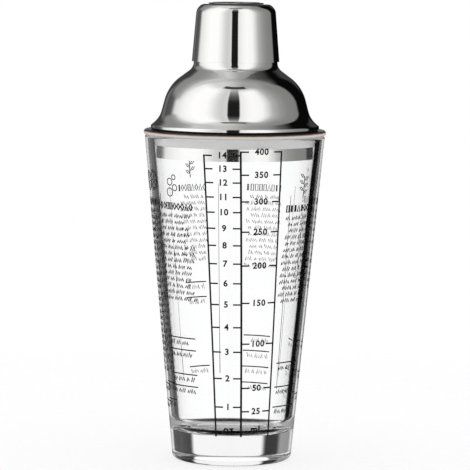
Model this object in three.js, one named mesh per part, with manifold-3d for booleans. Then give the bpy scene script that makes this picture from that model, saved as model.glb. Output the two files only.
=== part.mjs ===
// A cocktail shaker of the cobbler kind: a measuring tumbler of pressed glass, a strainer top of polished
// steel that plugs into the tumbler through a soft seal, and a steel cap pushed over the strainer's neck.
// Millimetres, +Z up. The origin is the centre of the tumbler's foot, on the surface it stands on.
import * as THREE from "three";
import { mergeVertices } from "three/addons/utils/BufferGeometryUtils.js";
import Module from "manifold-3d";

// Tumbler
const glassHeight = 152;
const rimDiameter = 84;
const footDiameter = 55.4;
const rimWall = 4.2;
const floorWall = 4.6;
const baseThickness = 13.5;
const heelRadius = 3;
const floorFillet = 8;
const lipRadius = 1.2;
const footRingWidth = 6;
const puntDepth = 1.1;

// Fits: parts that stay pressed together, and the push fit of the cap
const fitGap = 0.1;
const pushGap = 0.2;

// Soft seal between the tumbler and the strainer top
const sealFlange = 2.1;
const sealOverhang = 0.4;
const sealDepth = 4.5;
const sealShoulder = 1.2;
const sealEdge = 0.7;

// Steel sheet of the strainer top, and the skirt that plugs into the tumbler
const sheet = 0.7;
const skirtDepth = 10.1;
const skirtClearance = 0.3;
const skirtFold = 0.9;
const hemGap = 0.65;
const beadReach = 2.7;

// Bell and neck of the strainer top
const flareWidth = 4.2;
const flareHeight = 3.7;
const flareFillet = 11;
const domeHeight = 26.9;
const shoulderOut = 0.743;
const shoulderUp = 0.637;
const shoulderFillet = 20.5;
const neckDiameter = 39.4;
const neckFillet = 4;
const neckHeight = 19.6;
const neckCorner = 1.5;
const lipWidth = 1.5;
const draftDegrees = 4.6;

// Perforated plate under the neck's lip
const plateSheet = 0.6;
const plateMargin = 0.5;
const holeDiameter = 2.8;
const holePitch = 4.4;

// Cap
const capSheet = 0.7;
const capHeight = 27.3;
const capReveal = 0.95;
const capCorner = 4.6;
const cornerCutDown = 2.7;
const cornerCutIn = 2.2;
const capCrown = 0.05;
const ringDiameter = 25;
const ringRise = 0.6;
const ringSlope = 0.8;
const ringWidth = 1;
const ringRound = 0.9;
const recessSlope = 2;
const recessDepth = 1.4;

// How finely round shapes are cut into flats
const aroundSteps = 40;
const arcStep = THREE.MathUtils.degToRad(30);
const arcChord = 3.5;
const holeSides = 10;

const rimRadius = rimDiameter / 2;
const footRadius = footDiameter / 2;
const draft = Math.tan(THREE.MathUtils.degToRad(draftDegrees));

// Radii of the tumbler's two straight walls at a height above the table.
const outerRadiusAt = (z) => THREE.MathUtils.lerp(footRadius, rimRadius, z / glassHeight);
const floorRadius = outerRadiusAt(baseThickness) - floorWall;
const innerRadiusAt = (z) =>
  THREE.MathUtils.mapLinear(z, baseThickness, glassHeight, floorRadius, rimRadius - rimWall);

// The skirt is a straight ring that just clears the tapering glass at its lower edge.
const skirtRadius = innerRadiusAt(glassHeight - skirtDepth) - skirtClearance;
const beadRadius = skirtRadius + beadReach;
// The bell's edge is rolled under round the skirt's flange. The bell flares up from it, which leaves the
// flange its room, so the bead itself is just under three sheets high.
const beadHeight = 3 * sheet - fitGap;
const neckRadius = neckDiameter / 2;

// Distance from a corner to where its fillet starts, and the fillet's centre, swept angle and turning sense.
function filletAt(before, corner, after, radius) {
  const toBefore = before.clone().sub(corner);
  const toAfter = after.clone().sub(corner);
  const longest = Math.min(toBefore.length(), toAfter.length()) / 2;
  toBefore.normalize();
  toAfter.normalize();
  const half = Math.acos(THREE.MathUtils.clamp(toBefore.dot(toAfter), -1, 1)) / 2;
  const tangent = Math.min(radius / Math.tan(half), longest);
  const start = corner.clone().addScaledVector(toBefore, tangent);
  const middle = toBefore.clone().add(toAfter).normalize();
  const centre = corner.clone().addScaledVector(middle, tangent / Math.cos(half));
  return { tangent, start, centre, sweep: Math.PI - 2 * half, turn: -Math.sign(toBefore.cross(toAfter)) };
}

// An outline in the plane of radius and height from corners [radius, height, fillet].
function roundedOutline(corners) {
  const points = corners.map(([r, z]) => new THREE.Vector2(r, z));
  const outline = [];
  const add = (point) => {
    const last = outline.at(-1);
    if (!last || last.distanceTo(point) > fitGap / 10) outline.push(point);
  };
  corners.forEach(([, , fillet], i) => {
    if (!fillet) {
      add(points[i]);
      return;
    }
    const arc = filletAt(points[i - 1], points[i], points[i + 1], fillet);
    const length = arc.sweep * arc.start.distanceTo(arc.centre);
    const steps = Math.max(2, Math.ceil(arc.sweep / arcStep), Math.ceil(length / arcChord));
    for (let k = 0; k <= steps; k += 1) {
      add(arc.start.clone().rotateAround(arc.centre, (arc.turn * arc.sweep * k) / steps));
    }
  });
  return outline;
}

// The other face of a sheet whose outer face is given from its lower edge upwards. A face that ends on the
// axis is level there, so the sheet's thickness is measured straight down.
function innerFace(outer, thickness) {
  const normals = outer.slice(1).map((point, i) => {
    const along = point.clone().sub(outer[i]).normalize();
    return new THREE.Vector2(-along.y, along.x);
  });
  return outer.map((point, i) => {
    const first = normals[Math.max(i - 1, 0)];
    const second = normals[Math.min(i, normals.length - 1)];
    const mitre = first.clone().add(second).normalize();
    if (point.x === 0) return new THREE.Vector2(0, point.y - thickness);
    return point.clone().addScaledVector(mitre, thickness / mitre.dot(first));
  });
}

// The closed section of a sheet: down its inner face and up its outer one.
const sheetSection = (outer, thickness) => [...innerFace(outer, thickness).reverse(), ...outer];

// A closed solid turned about Z from a section that ends on the axis or is closed here on itself.
function turned(section) {
  const open = section[0].x > 0;
  const profile = open ? [...section, section[0]] : section;
  return closedMesh(new THREE.LatheGeometry(profile, aroundSteps).rotateX(Math.PI / 2));
}

// One watertight mesh: shared vertices merged and the flats that shrank to a line left out.
function closedMesh(geometry) {
  geometry.deleteAttribute("normal");
  geometry.deleteAttribute("uv");
  const merged = mergeVertices(geometry, fitGap / 100);
  const index = [];
  for (let i = 0; i < merged.index.count; i += 3) {
    const [a, b, c] = [0, 1, 2].map((k) => merged.index.getX(i + k));
    if (a !== b && b !== c && c !== a) index.push(a, b, c);
  }
  merged.setIndex(index);
  merged.computeVertexNormals();
  return merged;
}

const wasm = await Module();
wasm.setup();

function toSolid(geometry) {
  const { position } = geometry.attributes;
  return new wasm.Manifold(
    new wasm.Mesh({
      numProp: 3,
      vertProperties: new Float32Array(position.array),
      triVerts: new Uint32Array(geometry.index.array),
    }),
  );
}

function toGeometry(solid) {
  const { vertProperties, triVerts } = solid.getMesh();
  const geometry = new THREE.BufferGeometry();
  geometry.setAttribute("position", new THREE.BufferAttribute(vertProperties, 3));
  geometry.setIndex(new THREE.BufferAttribute(triVerts, 1));
  geometry.computeVertexNormals();
  return geometry;
}

const clearGlass = () =>
  new THREE.MeshStandardMaterial({
    color: 0xe6efed,
    roughness: 0.03,
    metalness: 0,
    transparent: true,
    opacity: 0.35,
  });
const polishedSteel = () =>
  new THREE.MeshStandardMaterial({ color: 0xd3d1cd, roughness: 0.08, metalness: 1 });
const milkySilicone = () =>
  new THREE.MeshStandardMaterial({ color: 0xc9bfb6, roughness: 0.4, metalness: 0 });

function piece(name, geometry, material, z = 0) {
  const mesh = new THREE.Mesh(geometry, material);
  mesh.name = name;
  mesh.position.z = z;
  return mesh;
}

// Tumbler: heavy base with a shallow punt underneath, tapering wall, fire-polished lip.
function tumbler() {
  const puntRadius = footRadius - heelRadius - footRingWidth;
  return turned(
    roundedOutline([
      [0, puntDepth],
      [puntRadius - puntDepth, puntDepth, puntDepth],
      [puntRadius, 0],
      [footRadius, 0, heelRadius],
      [rimRadius, glassHeight, Math.min(lipRadius, rimWall / 2)],
      [rimRadius - rimWall, glassHeight, Math.min(lipRadius, rimWall / 2)],
      [floorRadius, baseThickness, floorFillet],
      [0, baseThickness],
    ]),
  );
}

// Seal: a flange on the tumbler's rim and a stopper wedged between skirt and glass.
// Its height 0 is the flange's underside.
function sealRing() {
  const boreRadius = skirtRadius + fitGap;
  const wedgeRadiusAt = (depth) => innerRadiusAt(glassHeight - depth) - fitGap;
  const flangeRadius = rimRadius + sealOverhang;
  return turned(
    roundedOutline([
      [boreRadius, -sealDepth],
      [wedgeRadiusAt(sealDepth), -sealDepth, sealEdge / 2],
      [wedgeRadiusAt(0), 0],
      [flangeRadius, 0, sealEdge],
      [flangeRadius, sealFlange, sealShoulder],
      [boreRadius, sealFlange],
    ]),
  );
}

// The strainer top's heights count from the underside of its bead.
const skirtFoldHeight = sheet + fitGap;
const neckCornerHeight = beadHeight + domeHeight;
const neckRadiusAt = (height) => neckRadius - (height - neckCornerHeight) * draft;
const neckTop = neckCornerHeight + neckHeight;
const flarePoint = new THREE.Vector2(beadRadius - flareWidth, beadHeight + flareHeight);
const neckPoint = new THREE.Vector2(neckRadius, neckCornerHeight);
const shoulderPoint = new THREE.Vector2(
  THREE.MathUtils.lerp(neckPoint.x, flarePoint.x, shoulderOut),
  THREE.MathUtils.lerp(flarePoint.y, neckPoint.y, shoulderUp),
);
const neckTopPoint = new THREE.Vector2(neckRadiusAt(neckTop), neckTop);
const lipInnerRadius = neckTopPoint.x - neckCorner - lipWidth;

// Skirt: a drawn ring that plugs into the seal, its flange folded out under the bell's edge.
function plugSkirt() {
  const bottom = -(sealFlange + 2 * fitGap + skirtDepth);
  return turned(
    sheetSection(
      roundedOutline([
        [skirtRadius, bottom],
        [skirtRadius, skirtFoldHeight, Math.min(skirtFold, hemGap - fitGap)],
        [beadRadius - beadHeight / 2, skirtFoldHeight],
      ]),
      sheet,
    ),
  );
}

// Bell: a spun shell from the edge rolled round the skirt's flange up to the neck's turned-in lip.
function strainerDome() {
  return turned(
    sheetSection(
      roundedOutline([
        [skirtRadius + hemGap, 0],
        [beadRadius, 0, beadHeight / 2],
        [beadRadius, beadHeight, beadHeight / 2],
        [flarePoint.x, flarePoint.y, flareFillet],
        [shoulderPoint.x, shoulderPoint.y, shoulderFillet],
        [neckPoint.x, neckPoint.y, neckFillet],
        [neckTopPoint.x, neckTopPoint.y, neckCorner],
        [lipInnerRadius, neckTop],
      ]),
      sheet,
    ),
  );
}

// Strainer: a flat plate punched with rings of holes. Its height 0 is the upper face.
function strainerPlate() {
  const perforatedRadius = lipInnerRadius - plateMargin;
  const plateRadius = neckTopPoint.x - neckCorner - fitGap;
  const face = [new THREE.Vector2(plateRadius, 0), new THREE.Vector2(0, 0)];
  let plate = toSolid(turned(sheetSection(face, plateSheet)));
  const punchLength = 4 * plateSheet;
  const punch = closedMesh(
    new THREE.CylinderGeometry(holeDiameter / 2, holeDiameter / 2, punchLength, holeSides)
      .rotateX(Math.PI / 2),
  );
  const rings = Math.floor((perforatedRadius - holeDiameter / 2) / holePitch);
  for (let ring = 0; ring <= rings; ring += 1) {
    const holes = Math.max(1, 6 * ring);
    for (let k = 0; k < holes; k += 1) {
      const angle = (2 * Math.PI * k) / holes;
      const place = [ring * holePitch * Math.cos(angle), ring * holePitch * Math.sin(angle), 0];
      plate = plate.subtract(toSolid(punch).translate(place));
    }
  }
  return toGeometry(plate);
}

// Cap: a drawn cup pushed upside down over the neck, with the neck's own draft and a low ring round a sunken
// top. Its wide round corner is cut off first, and the two corners of the cut are rounded. Its height 0 is the
// open edge.
const neckTangent = filletAt(shoulderPoint, neckPoint, neckTopPoint, neckFillet).tangent;
const capBottom = neckCornerHeight + neckTangent + capReveal;

function pouringCap() {
  const sideGap = pushGap + capSheet;
  const edgeRadius = neckRadiusAt(capBottom) + sideGap;
  const topRadius = neckRadiusAt(capBottom + capHeight) + sideGap;
  const edge = new THREE.Vector2(edgeRadius, 0);
  const ringOuter = ringDiameter / 2;
  const ringInner = ringOuter - ringWidth;
  const ringFoot = new THREE.Vector2(ringOuter + ringSlope, capHeight - ringRise);
  const corner = new THREE.Vector2(topRadius, ringFoot.y - capCrown);
  const cutTowards = (point, length) => point.clone().sub(corner).setLength(length).add(corner);
  const cutBelow = cutTowards(edge, cornerCutDown);
  const cutBeside = cutTowards(ringFoot, cornerCutIn);
  return turned(
    sheetSection(
      roundedOutline([
        [edge.x, edge.y],
        [cutBelow.x, cutBelow.y, capCorner],
        [cutBeside.x, cutBeside.y, capCorner],
        [ringFoot.x, ringFoot.y, ringRound],
        [ringOuter, capHeight, ringRound],
        [ringInner, capHeight, ringRound],
        [ringInner - recessSlope, capHeight - recessDepth, ringRound],
        [0, capHeight - recessDepth],
      ]),
      capSheet,
    ),
  );
}

const strainerTop = new THREE.Group();
strainerTop.position.z = sealFlange + fitGap;
strainerTop.add(
  piece("plug_skirt", plugSkirt(), polishedSteel()),
  piece("strainer_dome", strainerDome(), polishedSteel()),
  piece("strainer_plate", strainerPlate(), polishedSteel(), neckTop - sheet - fitGap),
  piece("pouring_cap", pouringCap(), polishedSteel(), capBottom),
);

const lid = new THREE.Group();
lid.position.z = glassHeight + fitGap;
lid.add(piece("seal_ring", sealRing(), milkySilicone()), strainerTop);

const shaker = new THREE.Group();
shaker.add(piece("glass_tumbler", tumbler(), clearGlass()), lid);

export default shaker;
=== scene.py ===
# %% [markdown]
# # A glass cocktail shaker in a light tent
# This lesson dresses the bare solids of a cobbler shaker: a measuring glass, a soft seal, a polished
# steel strainer top and its cap. Everything is round, so nearly every piece is one outline turned about
# the vertical axis, and the work goes into the outlines, the glass, the mirror-bright steel and the
# printed scale.

# %% Load the solids that every piece has to fit
import math
import random

import bmesh
import bpy
from mathutils import Matrix, Vector


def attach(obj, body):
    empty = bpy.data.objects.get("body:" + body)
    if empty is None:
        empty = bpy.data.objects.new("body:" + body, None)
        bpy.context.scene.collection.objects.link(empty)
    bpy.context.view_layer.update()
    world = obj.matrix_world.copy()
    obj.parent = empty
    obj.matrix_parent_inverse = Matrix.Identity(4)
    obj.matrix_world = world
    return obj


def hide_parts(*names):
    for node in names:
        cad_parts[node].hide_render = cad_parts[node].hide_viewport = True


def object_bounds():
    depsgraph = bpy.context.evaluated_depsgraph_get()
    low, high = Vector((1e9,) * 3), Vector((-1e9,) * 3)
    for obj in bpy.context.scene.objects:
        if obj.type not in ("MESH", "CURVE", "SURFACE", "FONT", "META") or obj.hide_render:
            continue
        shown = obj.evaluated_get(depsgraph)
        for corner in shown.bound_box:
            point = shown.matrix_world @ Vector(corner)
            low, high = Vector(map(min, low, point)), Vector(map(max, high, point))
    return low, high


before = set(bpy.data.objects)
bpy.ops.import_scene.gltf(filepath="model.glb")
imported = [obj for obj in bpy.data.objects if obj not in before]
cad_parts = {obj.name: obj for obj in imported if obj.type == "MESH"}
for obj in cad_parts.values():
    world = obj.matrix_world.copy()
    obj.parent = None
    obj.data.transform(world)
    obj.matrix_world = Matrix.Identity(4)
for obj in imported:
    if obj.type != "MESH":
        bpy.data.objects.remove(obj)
cad_low, cad_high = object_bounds()
MM = 0.001

# %% [markdown]
# ## The sizes
# A few driving dimensions in millimetres, the same ones as the solids have. The rest follows from them:
# the skirt from the taper of the glass, the bead from the skirt, the cap from the neck.

# %% Driving sizes in millimetres
GLASS_HEIGHT = 152
RIM_RADIUS = 42
FOOT_RADIUS = 27.7
RIM_WALL = 4.2
FLOOR_WALL = 4.6
BASE_THICKNESS = 13.5
HEEL_RADIUS = 3
FLOOR_FILLET = 8
LIP_RADIUS = 1.2
FOOT_RING = 6
PUNT_DEPTH = 1.1

FIT_GAP = 0.1
PUSH_GAP = 0.2

SEAL_FLANGE = 2.1
SEAL_OVERHANG = 0.4
SEAL_DEPTH = 4.5
SEAL_SHOULDER = 1.2
SEAL_EDGE = 0.7

SHEET = 0.7
SKIRT_DEPTH = 10.1
SKIRT_CLEARANCE = 0.3
HEM_GAP = 0.65
BEAD_REACH = 2.7

FLARE_WIDTH = 4.2
FLARE_HEIGHT = 3.7
FLARE_FILLET = 11
DOME_HEIGHT = 26.9
SHOULDER_OUT = 0.743
SHOULDER_UP = 0.637
SHOULDER_FILLET = 20.5
NECK_RADIUS = 19.7
NECK_FILLET = 4
NECK_HEIGHT = 19.6
NECK_CORNER = 1.5
LIP_WIDTH = 1.5
DRAFT = math.tan(math.radians(4.6))

PLATE_SHEET = 0.6
PLATE_MARGIN = 0.5
HOLE_RADIUS = 1.4
HOLE_PITCH = 4.4

CAP_SHEET = 0.7
CAP_HEIGHT = 27.3
CAP_REVEAL = 0.95
CAP_CORNER = 4.6
CAP_CUT_DOWN = 2.7
CAP_CUT_IN = 2.2
CAP_CROWN = 0.05
RING_RADIUS = 12.5
RING_RISE = 0.6
RING_SLOPE = 0.8
RING_WIDTH = 1
RING_ROUND = 0.9
RECESS_SLOPE = 2
RECESS_DEPTH = 1.4
print("rim", 2 * RIM_RADIUS, "mm, glass", GLASS_HEIGHT, "mm, cap", CAP_HEIGHT, "mm")


# %% What follows from them
def between(low, high, share):
    return low + (high - low) * share


def outer_radius(z):
    """Radius of the tumbler's outer wall at a height."""
    return between(FOOT_RADIUS, RIM_RADIUS, z / GLASS_HEIGHT)


FLOOR_RADIUS = outer_radius(BASE_THICKNESS) - FLOOR_WALL


def inner_radius(z):
    """Radius of the tumbler's inner wall at a height."""
    share = (z - BASE_THICKNESS) / (GLASS_HEIGHT - BASE_THICKNESS)
    return between(FLOOR_RADIUS, RIM_RADIUS - RIM_WALL, share)


SKIRT_RADIUS = inner_radius(GLASS_HEIGHT - SKIRT_DEPTH) - SKIRT_CLEARANCE
BEAD_RADIUS = SKIRT_RADIUS + BEAD_REACH
BEAD_HEIGHT = 3 * SHEET - FIT_GAP
FLANGE_BOTTOM = GLASS_HEIGHT + FIT_GAP
BEAD_BOTTOM = FLANGE_BOTTOM + SEAL_FLANGE + FIT_GAP
NECK_CORNER_Z = BEAD_BOTTOM + BEAD_HEIGHT + DOME_HEIGHT
NECK_TOP = NECK_CORNER_Z + NECK_HEIGHT


def neck_radius(z):
    """Outer radius of the tapered neck at a height."""
    return NECK_RADIUS - (z - NECK_CORNER_Z) * DRAFT


NECK_TOP_RADIUS = neck_radius(NECK_TOP)
LIP_INNER = NECK_TOP_RADIUS - NECK_CORNER - LIP_WIDTH
print("skirt radius:", round(SKIRT_RADIUS, 2), "bead bottom:", round(BEAD_BOTTOM, 2))
print("neck top:", round(NECK_TOP, 2), "lip inside:", round(LIP_INNER, 2))

# %% [markdown]
# ## Turning an outline
# A lathe part is a half section swept round the axis. The section is written as a few corners, each with
# the radius that rounds it off, so the drawing stays short and every edge catches a highlight. Two extra
# points near the ends of each straight stretch keep the shading of the flats flat, which mirrors need.

# %% Outlines with rounded corners
ARC_STEP = math.radians(5)
ARC_LENGTH = 0.6
ARC_LEAST = 3
TINY = 1e-6


def fillet(before, corner, after, radius):
    """The points of the arc that rounds a corner, and how far from the corner it starts."""
    to_before = before - corner
    to_after = after - corner
    reach = min(to_before.length, to_after.length) / 2
    to_before.normalize()
    to_after.normalize()
    half = math.acos(max(-1, min(1, to_before.dot(to_after)))) / 2
    tangent = min(radius / math.tan(half), reach)
    centre = corner + (to_before + to_after).normalized() * (tangent / math.cos(half))
    spoke = corner + to_before * tangent - centre
    sweep = (2 * half - math.pi) * math.copysign(1, to_before.cross(to_after))
    length = abs(sweep) * spoke.length
    steps = max(ARC_LEAST, math.ceil(abs(sweep) / ARC_STEP), math.ceil(length / ARC_LENGTH))
    arc = [centre + Matrix.Rotation(sweep * k / steps, 2) @ spoke for k in range(steps + 1)]
    return arc, tangent


def outline(corners):
    """Points of an outline from corners (radius, height) or (radius, height, fillet)."""
    points = [Vector(corner[:2]) for corner in corners]
    drawn = []
    for i, corner in enumerate(corners):
        rounded = len(corner) > 2
        new = fillet(points[i - 1], points[i], points[i + 1], corner[2])[0] if rounded else [points[i]]
        drawn += [p for p in new if not drawn or (p - drawn[-1]).length > TINY]
    return drawn


print("arcs have a point at least every", ARC_LENGTH, "mm")


# %% Sheets of even thickness
def sheet_section(outer, thickness):
    """A sheet's closed section from its outer face, drawn from the lower edge upwards."""
    normals = []
    for a, b in zip(outer, outer[1:]):
        along = (b - a).normalized()
        normals.append(Vector((-along.y, along.x)))
    inner = []
    for i, point in enumerate(outer):
        first = normals[max(i - 1, 0)]
        mitre = (first + normals[min(i, len(normals) - 1)]).normalized()
        if point.x < TINY:
            inner.append(point - Vector((0, thickness)))
        else:
            inner.append(point + mitre * (thickness / mitre.dot(first)))
    return inner[::-1] + outer


# %% The lathe
BRACE = 0.25
LONG_STRETCH = 6 * BRACE
AROUND = 192
SHARP_ANGLE = math.radians(38)


def braced(section):
    """The section with two more points close to the ends of every long straight stretch."""
    points = [section[0]]
    for a, b in zip(section, section[1:]):
        along = b - a
        if along.length > LONG_STRETCH:
            points += [a + along.normalized() * BRACE, b - along.normalized() * BRACE]
        points.append(b)
    return points


def piece_from(name, verts, faces):
    """A smooth object whose sharp edges stay sharp."""
    mesh = bpy.data.meshes.new(name)
    mesh.from_pydata(verts, [], faces)
    bm = bmesh.new()
    bm.from_mesh(mesh)
    bmesh.ops.recalc_face_normals(bm, faces=bm.faces)
    bm.to_mesh(mesh)
    bm.free()
    mesh.shade_smooth()
    mesh.set_sharp_from_angle(angle=SHARP_ANGLE)
    piece = bpy.data.objects.new(name, mesh)
    bpy.context.scene.collection.objects.link(piece)
    return piece


def on_shaker(radius, angle, z):
    """A point in metres from millimetres; angle 0 faces the viewer, and + is to the right."""
    return Vector((radius * math.sin(angle), -radius * math.cos(angle), z)) * MM


def turned(name, section):
    """A closed solid turned from a section that ends on the axis, or else closes on itself."""
    points = braced(section)
    closed = section[0].x > TINY
    if closed:
        points = braced(section + section[:1])[:-1]
    verts = []
    rings = []
    for point in points:
        count = AROUND if point.x > TINY else 1
        rings.append([len(verts) + k for k in range(count)])
        verts += [on_shaker(point.x, math.tau * k / AROUND, point.y) for k in range(count)]
    faces = []
    for low, high in zip(rings, rings[1:] + (rings[:1] if closed else [])):
        for k in range(AROUND):
            after = (k + 1) % AROUND
            loop = [low[k % len(low)], low[after % len(low)], high[after % len(high)], high[k % len(high)]]
            face = list(dict.fromkeys(loop))
            if len(face) > 2:
                faces.append(face)
    piece = piece_from(name, verts, faces)
    print("turned", name, "with", len(faces), "faces")
    return piece


# %% What a piece needs besides its shape
def dress(piece, material, body, slot, *nodes):
    """Gives a piece its finish, the body it moves with and the solids it stands for."""
    piece.data.materials.append(material)
    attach(piece, body)
    if nodes:
        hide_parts(*nodes)
    return piece


# %% [markdown]
# ## Wear that several finishes share
# Steel, glass, silicone and enamel are all handled. Two shared effects serve them: fine wiping scratches
# with soft smudges, which change how blurred a reflection is, and the slow waviness that pressing and
# spinning leave in a surface, which bends straight reflections a little. Each is a node group, so that
# one tuned effect can be placed in every finish with its own strength.

# %% Helpers that place nodes
def add_node(tree, kind, **settings):
    """A new node of a kind, with its settings."""
    node = tree.nodes.new(kind)
    for name, value in settings.items():
        setattr(node, name, value)
    return node


def feed(tree, node, sockets):
    """Sets or links the node's sockets, given by name or number."""
    for key, value in sockets.items():
        socket = node.inputs[key]
        if isinstance(value, bpy.types.NodeSocket):
            tree.links.new(value, socket)
        else:
            socket.default_value = value
    return node


def calc(tree, operation, *terms):
    """The result of a Math node."""
    node = add_node(tree, "ShaderNodeMath", operation=operation)
    return feed(tree, node, dict(enumerate(terms))).outputs[0]


# %% Helpers for textures and greys
def object_place(tree):
    """Where on the piece a point is, in metres."""
    return add_node(tree, "ShaderNodeTexCoord").outputs["Object"]


def noise(tree, vector, scale, detail=3.0, roughness=0.5):
    node = add_node(tree, "ShaderNodeTexNoise")
    feed(tree, node, {"Vector": vector, "Scale": scale, "Detail": detail, "Roughness": roughness})
    return node.outputs["Fac"]


def stretched(tree, vector, factors):
    node = add_node(tree, "ShaderNodeVectorMath", operation="MULTIPLY")
    return feed(tree, node, {0: vector, 1: factors}).outputs[0]


def grey(value):
    return (value, value, value)


def ramp(tree, value, stops):
    """A colour ramp over a value; stops are (place, colour)."""
    node = add_node(tree, "ShaderNodeValToRGB")
    elements = node.color_ramp.elements
    while len(elements) < len(stops):
        elements.new(1.0)
    for element, (place, colour) in zip(elements, stops):
        element.position = place
        element.color = (*colour, 1.0)
    feed(tree, node, {"Fac": value})
    return node.outputs["Color"]


def rising(tree, value, edge):
    """0 below an edge's first value and 1 above its second one."""
    return ramp(tree, value, [(edge[0], grey(0)), (edge[1], grey(1))])


# %% A node group with named sockets
def new_group(name, inputs, outputs):
    """A node group with float inputs {name: default} and float outputs."""
    tree = bpy.data.node_groups.new(name, "ShaderNodeTree")
    for label, default in inputs.items():
        socket = tree.interface.new_socket(label, in_out="INPUT", socket_type="NodeSocketFloat")
        socket.default_value = default
    for label in outputs:
        tree.interface.new_socket(label, in_out="OUTPUT", socket_type="NodeSocketFloat")
    entry = tree.nodes.new("NodeGroupInput")
    leave = tree.nodes.new("NodeGroupOutput")
    return tree, entry.outputs, leave.inputs


# %% The two shared effects
SMUDGE_SCALE = 45.0
SMUDGE_EDGE = (0.48, 0.72)
WIPE_STRETCH = (420.0, 420.0, 2600.0)
WIPE_EDGE = (0.58, 0.7)
RIPPLE_STRETCH = (30.0, 30.0, 900.0)


def make_handling_marks():
    """Roughness from wiping scratches and soft smudges."""
    tree, given, result = new_group(
        "handling_marks", {"Polish": 0.05, "Smudges": 0.03, "Scratches": 0.03}, ["Roughness"]
    )
    place = object_place(tree)
    patches = rising(tree, noise(tree, place, SMUDGE_SCALE, detail=4.0, roughness=0.6), SMUDGE_EDGE)
    wiped = noise(tree, stretched(tree, place, WIPE_STRETCH), 1.0, detail=2.0)
    lines = rising(tree, wiped, WIPE_EDGE)
    smudged = calc(tree, "MULTIPLY", patches, given["Smudges"])
    scratched = calc(tree, "MULTIPLY", lines, given["Scratches"])
    total = calc(tree, "ADD", given["Polish"], calc(tree, "ADD", smudged, scratched))
    tree.links.new(total, result["Roughness"])
    return tree


def make_slow_waves():
    """Height of the slow waviness that forming leaves."""
    tree, given, result = new_group("slow_waves", {"Wave size": 60.0, "Ripple": 0.3}, ["Height"])
    place = object_place(tree)
    slow = noise(tree, place, given["Wave size"], detail=1.0)
    fine = noise(tree, stretched(tree, place, RIPPLE_STRETCH), 1.0, detail=2.0)
    rippled = calc(tree, "MULTIPLY_ADD", fine, given["Ripple"], slow)
    tree.links.new(rippled, result["Height"])
    return tree


HANDLING_MARKS = make_handling_marks()
SLOW_WAVES = make_slow_waves()
print("shared effects:", HANDLING_MARKS.name, SLOW_WAVES.name)


# %% Placing the effects in a finish
def new_material(name):
    """A material with its node tree and its Principled shader."""
    material = bpy.data.materials.new(name)
    material.use_nodes = True
    return material, material.node_tree, material.node_tree.nodes["Principled BSDF"]


def use_group(tree, group, **values):
    node = add_node(tree, "ShaderNodeGroup", node_tree=group)
    return feed(tree, node, {label.replace("_", " "): value for label, value in values.items()})


def use_marks(tree, shader, polish, smudges, scratches):
    marks = use_group(tree, HANDLING_MARKS, Polish=polish, Smudges=smudges, Scratches=scratches)
    tree.links.new(marks.outputs["Roughness"], shader.inputs["Roughness"])


def use_waves(tree, shader, size, ripple, depth):
    waves = use_group(tree, SLOW_WAVES, Wave_size=size, Ripple=ripple)
    bump = add_node(tree, "ShaderNodeBump")
    feed(tree, bump, {"Height": waves.outputs["Height"], "Strength": 1.0, "Distance": depth})
    tree.links.new(bump.outputs["Normal"], shader.inputs["Normal"])


# %% [markdown]
# ## The glass
# The tumbler is heavy pressed glass: a thick base with a shallow punt, a wall that tapers, and a lip
# melted round by a flame. A closed solid with a real wall is what makes it look right, because the dark
# and bright bands at its edges are light that bounces inside that wall. Its finish is the glass of a
# Principled shader with a breath of waviness and faint smudges. A dark Specular Tint weakens the mirror
# on faces that are seen squarely, so that the base stays clear, and leaves total reflection alone. Light
# that is still trapped after several bounces would turn black where the renderer gives up, so the glass
# glows a little there.

# %% Clear glass and the tumbler
GLASS_COLOUR = (0.995, 0.998, 0.997, 1.0)
GLASS_IOR = 1.5
GLASS_SHEEN = 0.2
TRAPPED_BOUNCE = 6
TRAPPED_LIGHT = 0.4
HALF = 0.5


def clear_glass():
    material, tree, shader = new_material("clear_glass")
    bounces = add_node(tree, "ShaderNodeLightPath").outputs["Ray Depth"]
    trapped = calc(tree, "COMPARE", bounces, TRAPPED_BOUNCE, HALF)
    glass = {
        "Base Color": GLASS_COLOUR,
        "Transmission Weight": 1.0,
        "IOR": GLASS_IOR,
        "Specular Tint": (*grey(GLASS_SHEEN), 1.0),
        "Emission Color": ramp(tree, trapped, [(0.0, grey(0)), (1.0, grey(TRAPPED_LIGHT))]),
        "Emission Strength": 1.0,
    }
    feed(tree, shader, glass)
    use_marks(tree, shader, polish=0.0, smudges=0.012, scratches=0.006)
    use_waves(tree, shader, size=30.0, ripple=0.05, depth=0.00002)
    return material


CLEAR_GLASS = clear_glass()


def tumbler():
    punt_radius = FOOT_RADIUS - HEEL_RADIUS - FOOT_RING
    return turned(
        "tumbler",
        outline(
            [
                (0, PUNT_DEPTH),
                (punt_radius - PUNT_DEPTH, PUNT_DEPTH, PUNT_DEPTH),
                (punt_radius, 0),
                (FOOT_RADIUS, 0, HEEL_RADIUS),
                (RIM_RADIUS, GLASS_HEIGHT, LIP_RADIUS),
                (RIM_RADIUS - RIM_WALL, GLASS_HEIGHT, LIP_RADIUS),
                (FLOOR_RADIUS, BASE_THICKNESS, FLOOR_FILLET),
                (0, BASE_THICKNESS),
            ]
        ),
    )


dress(tumbler(), CLEAR_GLASS, "tumbler", "clear_glass", "glass_tumbler")
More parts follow.
